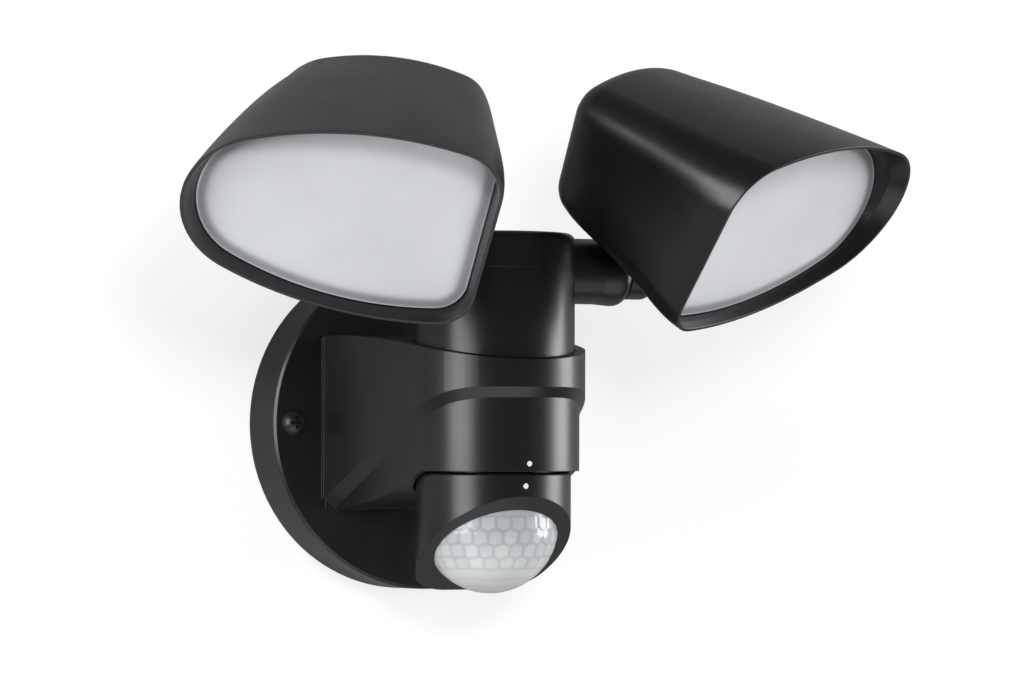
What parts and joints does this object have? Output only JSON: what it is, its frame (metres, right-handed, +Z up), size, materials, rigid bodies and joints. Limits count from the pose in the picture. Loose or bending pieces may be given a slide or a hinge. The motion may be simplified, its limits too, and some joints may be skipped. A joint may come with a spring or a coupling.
{
  "type": "motion sensor security light",
  "caption": "Wall light with hooded lamp heads on tilting, swivelling arms, a round wall plate, a vertical column and a panning motion sensor with a domed lens.",
  "frame": {"origin": "centre of the wall plate's back face, on the wall", "axes": "+Z up; the light faces -Y, away from the wall; +X to the right of someone who faces the wall"},
  "size_m": [0.2751, 0.1718, 0.1848],
  "materials": {
    "housing": "satin black moulded plastic",
    "seal": "soft black rubber",
    "steel": "zinc plated steel",
    "black_screw": "black coated screw",
    "brass": "plain brass",
    "inner_plastic": "plain light moulding",
    "circuit_board": "white solder mask",
    "component": "dark component bodies",
    "spreader": "plain rolled aluminium",
    "led": "yellow phosphor chips",
    "diffuser": "frosted translucent plastic",
    "sensor_lens": "milky translucent plastic",
    "index_dot": "white inlay"
  },
  "bodies": {
    "wall_mount": {"wall_plate": "housing", "wall_gasket": "seal", "mounting_strap": "steel", "plate_screws": "black_screw", "terminal_block": "inner_plastic", "terminal_screws": "brass", "wire_grommet": "seal", "bracket_housing": "housing", "bracket_gasket": "seal", "bracket_screws": "steel", "collar_index_dot": "index_dot", "column_tube": "housing", "column_seal": "seal", "column_screws": "steel", "top_cap": "housing", "cap_screws": "steel", "driver_board": "circuit_board", "driver_transformer": "component", "driver_relay": "inner_plastic", "driver_capacitors": "component", "driver_connector": "inner_plastic", "arm_left": "housing", "arm_right": "housing", "arm_seal_left": "seal", "arm_seal_right": "seal"},
    "sensor": {"sensor_housing": "housing", "sensor_index_dot": "index_dot", "sensor_retainer": "inner_plastic", "sensor_retainer_screws": "steel", "sensor_lens": "sensor_lens", "sensor_lens_clamp": "inner_plastic", "sensor_board": "circuit_board", "pyro_sensor": "steel", "light_sensor": "component", "sensor_board_screws": "steel"},
    "elbow_left_body": {"elbow_left": "housing", "elbow_washer_left": "steel", "elbow_nut_left": "steel"},
    "elbow_right_body": {"elbow_right": "housing", "elbow_washer_right": "steel", "elbow_nut_right": "steel"},
    "head_left": {"lamp_housing_left": "housing", "neck_washer_left": "steel", "neck_nut_left": "steel", "heat_spreader_left": "spreader", "led_board_left": "circuit_board", "leds_left": "led", "board_screws_left": "steel", "lens_gasket_left": "seal", "diffuser_left": "diffuser"},
    "head_right": {"lamp_housing_right": "housing", "neck_washer_right": "steel", "neck_nut_right": "steel", "heat_spreader_right": "spreader", "led_board_right": "circuit_board", "leds_right": "led", "board_screws_right": "steel", "lens_gasket_right": "seal", "diffuser_right": "diffuser"}
  },
  "joints": [
    {"name": "sensor_pan", "type": "hinge", "parent": "wall_mount", "child": "sensor", "pos_m": [0, -0.079, -0.0125], "axis": [0, 0, 1], "range_deg": [-80, 80]},
    {"name": "tilt_left", "type": "hinge", "parent": "wall_mount", "child": "elbow_left_body", "pos_m": [-0.0546, -0.079, 0.0534], "axis": [1, 0, 0], "range_deg": [-60, 45]},
    {"name": "swivel_left", "type": "hinge", "parent": "elbow_left_body", "child": "head_left", "pos_m": [-0.0546, -0.079, 0.0534], "axis": [0, -0.3546, 0.935], "range_deg": [-48, 4]},
    {"name": "tilt_right", "type": "hinge", "parent": "wall_mount", "child": "elbow_right_body", "pos_m": [0.0546, -0.079, 0.0534], "axis": [1, 0, 0], "range_deg": [-60, 45]},
    {"name": "swivel_right", "type": "hinge", "parent": "elbow_right_body", "child": "head_right", "pos_m": [0.0546, -0.079, 0.0534], "axis": [0, -0.3688, 0.9295], "range_deg": [-13, 40]}
  ]
}
